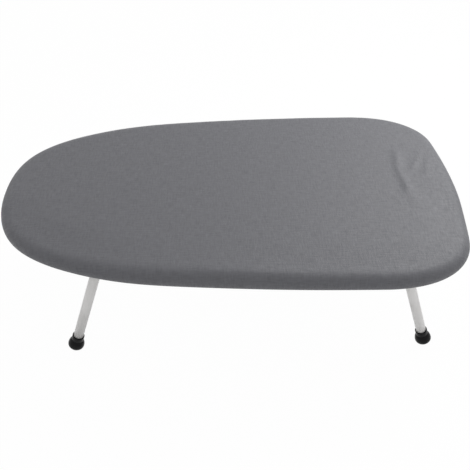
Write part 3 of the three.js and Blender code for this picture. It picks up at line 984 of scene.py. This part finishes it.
def make_deck():
    """Expanded steel: lozenges in staggered rows, with a plain border where none fits."""
    deck_edge = rim_inset - deck_lap
    bm = bmesh.new()
    cells = 2 * math.ceil(half_length / lozenge_length) + 10
    half_diagonal = math.hypot(1, 1) / 2
    bmesh.ops.create_grid(bm, x_segments=2 * cells, y_segments=2 * cells, size=cells * half_diagonal)
    bmesh.ops.rotate(bm, cent=(0, 0, 0), matrix=Matrix.Rotation(math.radians(45), 3, "Z"), verts=bm.verts)
    bmesh.ops.scale(bm, vec=(lozenge_length, lozenge_width, 1), verts=bm.verts)
    edge, out = stations(120)
    for at, facing_out in zip(edge - out * deck_edge, out):
        cut_off(bm, (*at, 0), (*facing_out, 0))
    bmesh.ops.translate(bm, vec=(0, 0, deck_high.z), verts=bm.verts)
    whole = max(face.calc_area() for face in bm.faces)
    border = edge - out * (deck_edge + deck_border)

    def clear_of_border(face):
        corners = np.array([v.co.xy for v in face.verts])
        return ((corners[:, None] - border) * out).sum(2).max() < 0

    open_faces = [f for f in bm.faces if f.calc_area() > 0.99 * whole and clear_of_border(f)]
    bmesh.ops.inset_individual(bm, faces=open_faces, thickness=strand_half_width, use_even_offset=True)
    bmesh.ops.delete(bm, geom=open_faces, context="FACES_ONLY")
    deck = finish_piece("mesh_deck", bm, mesh_finish, ["deck_mesh"])
    thicken(deck, deck_high.z - deck_low.z)


make_deck()


# ---- Braces


def make_brace(node):
    """A pressed channel: the frame's own, joined up, and rounded where the sheet is bent."""
    near = 1e-5
    low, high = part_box(node)
    middle = (low.x + high.x) / 2
    half = (high.x - low.x) / 2
    bm = bmesh.new()
    bm.from_mesh(frame["nodes"][node].data)
    bmesh.ops.remove_doubles(bm, verts=bm.verts, dist=1e-6)
    bmesh.ops.dissolve_limit(bm, angle_limit=math.radians(1), verts=bm.verts, edges=bm.edges)

    def bend_edges(inwards):
        """The long edges of the channel's bends, at a depth in the sheet."""
        at_bend = {
            v for v in bm.verts
            if abs(v.co.z - low.z - inwards) < near and abs(abs(v.co.x - middle) - half + inwards) < near
        }
        lengthwise = [e for e in bm.edges if abs(e.verts[0].co.y - e.verts[1].co.y) > 1 * mm]
        return [e for e in lengthwise if at_bend.issuperset(e.verts)]

    ease_edges(bm, bend_edges(0), press_bend, 4)
    ease_edges(bm, bend_edges(sheet_thickness), press_bend - sheet_thickness, 3)
    finish_piece(f"{node}_channel", bm, powder_finish, [node])


for end in ends:
    for kind in ("hinge", "keeper"):
        make_brace(f"{end}_{kind}_brace")


# ---- Pressed metal


def strip(path, width, thickness, axis):
    """Sheet metal bent to a path and as wide as given, on the path's left side.

    The path is drawn in X and Z and pulled along Y, or in Y and Z and pulled along X.
    """
    start = -width / 2
    bm = wire([(a, start, b) if axis == "Y" else (start, a, b) for a, b in path])
    fresh, _ = extruded(bm, bm.edges[:])
    bmesh.ops.translate(bm, vec=(0, width, 0) if axis == "Y" else (width, 0, 0), verts=list(fresh))
    bm.normal_update()
    bmesh.ops.solidify(bm, geom=bm.faces[:], thickness=thickness)
    bmesh.ops.recalc_face_normals(bm, faces=bm.faces)
    return bm


saddle_low, saddle_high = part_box("tail_saddle_far")
saddle_y = (saddle_low.y + saddle_high.y) / 2


def make_saddle(end, where):
    top = rim_low.z - pivot[end].z
    inner = leg_radius + pivot_clearance
    bend = saddle_thickness + 0.8 * mm
    left = arc(-inner - bend, top - bend, bend, 90, 0, 4)
    right = [(-x, z) for x, z in reversed(left)]
    path = [(-saddle_reach, top), *left, *arc(0, 0, inner, 180, 360, 20), *right, (saddle_reach, top)]
    bm = strip(path, saddle_width, -saddle_thickness, "Y")
    corners = [
        e for e in bm.edges
        if all(abs(v.co.x) > saddle_reach - 1e-5 and abs(v.co.y) > saddle_width / 2 - 1e-5 for v in e.verts)
    ]
    ease_edges(bm, corners, 4 * mm, 5)
    ease_edges(bm, sharp_edges(bm, 50), 0.25 * mm, 2)
    place = pivot[end] + Vector((0, sides[where] * saddle_y, 0))
    bmesh.ops.translate(bm, vec=place, verts=bm.verts)
    name = f"{end}_saddle_{where}"
    finish_piece(f"{name}_strap", bm, zinc_finish, [name])


def make_clip(end, where):
    low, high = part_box(f"{end}_clip_{where}")
    inner = leg_radius + clip_clearance
    tip = low.z - high.z
    roof = -clip_thickness
    bend = 0.8 * mm
    bent = arc(-inner + bend, roof - bend, bend, 180, 90, 3)
    left = [(-inner - clip_flare, tip), (-inner, tip + clip_lip), *bent]
    path = [*left, *[(-y, z) for y, z in reversed(left)]]
    bm = strip(path, clip_length, -clip_thickness, "X")
    ease_edges(bm, sharp_edges(bm, 50), 0.2 * mm, 2)
    bmesh.ops.translate(bm, vec=((low.x + high.x) / 2, (low.y + high.y) / 2, high.z), verts=bm.verts)
    name = f"{end}_clip_{where}"
    finish_piece(f"{name}_fork", bm, spring_finish, [name])


def spun(profile, steps, matrix):
    """A round solid from a profile of (radius, z) that starts and ends on its axis."""
    bm = wire([(r, 0, z) for r, z in profile])
    bmesh.ops.spin(
        bm, geom=bm.verts[:] + bm.edges[:], cent=(0, 0, 0), axis=(0, 0, 1), angle=math.tau,
        steps=steps, use_merge=True,
    )
    bmesh.ops.transform(bm, matrix=matrix, verts=bm.verts)
    close_up(bm)
    return bm


def dome(radius, height, count):
    """Points from a dome's lowest, on the axis, to its widest, at z = 0."""
    return [(radius * math.sin(a), -height * math.cos(a)) for a in np.linspace(0, math.pi / 2, count)]


def make_rivet(node):
    """A domed head below, a shank, and a tail set above with a rolled rim and a dimple."""
    low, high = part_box(node)
    stack = high.z - low.z - rivet_head_height - rivet_tail_height
    top = stack + rivet_tail_height
    profile = [
        *dome(rivet_head_radius, rivet_head_height, 9),
        (rivet_radius, 0),
        (rivet_radius, stack),
        (rivet_tail_radius, stack),
        *arc(rivet_tail_radius - 0.5 * mm, top - 0.5 * mm, 0.5 * mm, 0, 90, 4),
        (rivet_radius * 0.7, top - 0.1 * mm),
        (rivet_radius * 0.5, top - 0.6 * mm),
        (0, top - 0.6 * mm),
    ]
    place = Matrix.Translation(((low.x + high.x) / 2, (low.y + high.y) / 2, low.z + rivet_head_height))
    bm = spun(profile, 24, place)
    finish_piece(f"{node}_set", bm, zinc_finish, [node])


# ---- Legs


def leg_place(end):
    """From a leg that stands straight, with its cross tube on Y, to where it is at rest."""
    return Matrix.Translation(pivot[end]) @ turned(end) @ Matrix.Rotation(-splay, 4, "Y")


def make_leg(end):
    low = -leg_reach - foot_dome + socket_floor
    straight = half_spacing - bend_radius
    bm = bmesh.new()
    foot_end = Matrix.Translation((0, -half_spacing, low))
    bmesh.ops.create_circle(bm, radius=leg_radius, segments=32, matrix=foot_end)

    def push(ring, vec):
        fresh, edges = extruded(bm, ring)
        bmesh.ops.translate(bm, vec=vec, verts=list(fresh))
        return edges

    def turn(ring, centre):
        verts = list({v for e in ring for v in e.verts})
        last = bmesh.ops.spin(
            bm, geom=verts + ring, cent=centre, axis=(1, 0, 0), angle=-math.pi / 2, steps=14,
        )["geom_last"]
        return [g for g in last if isinstance(g, bmesh.types.BMEdge)]

    ring = push(bm.edges[:], (0, 0, -bend_radius - low))
    ring = turn(ring, (0, -straight, -bend_radius))
    ring = push(ring, (0, 2 * straight, 0))
    ring = turn(ring, (0, straight, -bend_radius))
    push(ring, (0, 0, low + bend_radius))
    close_up(bm)
    bmesh.ops.transform(bm, matrix=leg_place(end), verts=bm.verts)
    leg = finish_piece(f"{end}_leg_tube", bm, powder_finish, [f"{end}_leg"], f"{end}_leg")
    thicken(leg, leg_wall)


def foot_profile():
    crease_angle = math.acos(foot_crease / foot_radius)
    crease_z = foot_shoulder * math.sin(crease_angle)
    socket = leg_radius + foot_gap
    lip = (collar_radius - socket) / 2
    shoulder = [(foot_radius * math.cos(a), foot_shoulder * math.sin(a))
                for a in np.linspace(0, crease_angle, 12)[1:]]
    collar_top = crease_z + collar_height
    floor = socket_floor - foot_dome - foot_gap
    return [
        *dome(foot_radius, foot_dome, 15),
        *shoulder,
        *arc(collar_radius - lip, crease_z + lip, lip, -60, 0, 3),
        *arc(collar_radius - lip, collar_top - lip, lip, 0, 90, 4),
        (socket, collar_top),
        (socket, floor),
        (0, floor),
    ]


def make_foot(end, where):
    side = -sides[where] if end == "nose" else sides[where]
    place = leg_place(end) @ Matrix.Translation((0, side * half_spacing, -leg_reach))
    bm = spun(foot_profile(), 48, place)
    cut_off(bm, (0, 0, 0), (0, 0, -1))
    bmesh.ops.holes_fill(bm, edges=[e for e in bm.edges if e.is_boundary])
    name = f"{end}_foot_{where}"
    finish_piece(f"{name}_cap", bm, rubber_finish, [name], f"{end}_leg")


def make_lug(end, where):
    top = rim_low.z - pivot[end].z - weld_gap
    bottom = top - lug_thickness
    cope = leg_radius + weld_gap
    start = math.degrees(math.acos(lug_overlap / cope))
    stop = math.degrees(math.asin(bottom / cope))
    outline = [(lug_reach, bottom), (lug_reach, top), *arc(0, 0, cope, start, stop, 8)]
    bm = bmesh.new()
    face = bm.faces.new([bm.verts.new((x, -lug_width / 2, z)) for x, z in outline])
    grown = bmesh.ops.extrude_face_region(bm, geom=[face])["geom"]
    fresh = [g for g in grown if isinstance(g, bmesh.types.BMVert)]
    bmesh.ops.translate(bm, vec=(0, lug_width, 0), verts=fresh)
    close_up(bm)
    at_tip = [e for e in bm.edges if all(v.co.x > lug_reach - 1e-6 for v in e.verts)]
    corners = [e for e in at_tip if abs(e.verts[0].co.z - e.verts[1].co.z) > 1 * mm]
    ease_edges(bm, corners, 3 * mm, 4)
    ease_edges(bm, sharp_edges(bm, 60), 0.3 * mm, 2)
    place = Matrix.Translation(pivot[end] + Vector((0, sides[where] * lug_offset, 0))) @ turned(end)
    bmesh.ops.transform(bm, matrix=place, verts=bm.verts)
    name = f"{end}_stop_lug_{where}"
    finish_piece(f"{name}_plate", bm, powder_finish, [name], f"{end}_leg")


for end in ends:
    make_leg(end)
    for where in sides:
        make_foot(end, where)
        make_lug(end, where)
        make_saddle(end, where)
        make_clip(end, where)
        for place in ("inner", "outer"):
            make_rivet(f"{end}_saddle_rivet_{where}_{place}")
        make_rivet(f"{end}_clip_rivet_{where}")


# ---- Camera and lights


def make_camera():
    azimuth = math.radians(-1.276)
    elevation = math.radians(39.8)
    distance = 0.9006
    target = Vector((2.7 * mm, -102.3 * mm, surface_z))
    frame_width = 36
    lens_per_width = 1.5745
    camera = in_scene("camera", bpy.data.cameras.new("camera"))
    put(camera.data, sensor_width=frame_width, lens=frame_width * lens_per_width)
    level = math.cos(elevation)
    back = Vector((math.sin(azimuth) * level, -math.cos(azimuth) * level, math.sin(elevation)))
    camera.location = target + back * distance
    camera.rotation_mode = "QUATERNION"
    camera.rotation_quaternion = (-back).to_track_quat("-Z", "Y")
    scene.camera = camera


def make_lamp(name, place, aim, size, power):
    """A soft square lamp that shines from place towards aim."""
    lamp = in_scene(name, bpy.data.lights.new(name, "AREA"))
    put(lamp.data, shape="SQUARE", size=size, energy=power)
    lamp.location = place
    lamp.rotation_mode = "QUATERNION"
    lamp.rotation_quaternion = (Vector(aim) - Vector(place)).to_track_quat("-Z", "Y")


def seen_directly(tree):
    """1 where the camera, a mirror or glass sees the backdrop, and 0 where it gives light."""
    path = add(tree, "LightPath").outputs
    shiny = maths(tree, "MAXIMUM", path["Is Glossy Ray"], path["Is Transmission Ray"])
    return maths(tree, "MAXIMUM", path["Is Camera Ray"], shiny)


def make_world(strength):
    world = bpy.data.worlds.new("studio")
    scene.world = world
    world.use_nodes = True
    tree = world.node_tree
    tree.nodes.clear()
    dim = add(tree, "Background", {"Color": (1, 1, 1, 1), "Strength": strength})
    white = add(tree, "Background", {"Color": (1, 1, 1, 1), "Strength": 1.0})
    mix = add(tree, "MixShader", {0: seen_directly(tree), 1: dim.outputs[0], 2: white.outputs[0]})
    add(tree, "OutputWorld", {"Surface": mix.outputs[0]})


def make_floor():
    """White paper that keeps a faint shadow, and clear from below."""
    bm = bmesh.new()
    bmesh.ops.create_grid(bm, x_segments=1, y_segments=1, size=6)
    floor = meshed("floor", bm)
    bm.free()
    finish = bpy.data.materials.new("white floor")
    finish.use_nodes = True
    tree = finish.node_tree
    tree.nodes.clear()
    direct = seen_directly(tree)
    paper = add(tree, "BsdfDiffuse", {"Color": (0.9, 0.9, 0.9, 1)})
    glow = add(tree, "Emission", {"Color": (1, 1, 1, 1), "Strength": 1.0})
    share = times(tree, direct, 0.98)
    above = add(tree, "MixShader", {0: share, 1: paper.outputs[0], 2: glow.outputs[0]})
    below = add(tree, "BsdfTransparent")
    backface = add(tree, "NewGeometry").outputs["Backfacing"]
    mix = add(tree, "MixShader", {0: backface, 1: above.outputs[0], 2: below.outputs[0]})
    add(tree, "OutputMaterial", {"Surface": mix.outputs[0]})
    floor.data.materials.append(finish)


scene.view_settings.view_transform = "Standard"
make_camera()
make_world(strength=0.615)
make_lamp("key", place=(0.66, 0.5, 0.9), aim=(0.1, 0, 0.15), size=0.6, power=7.5)
make_floor()
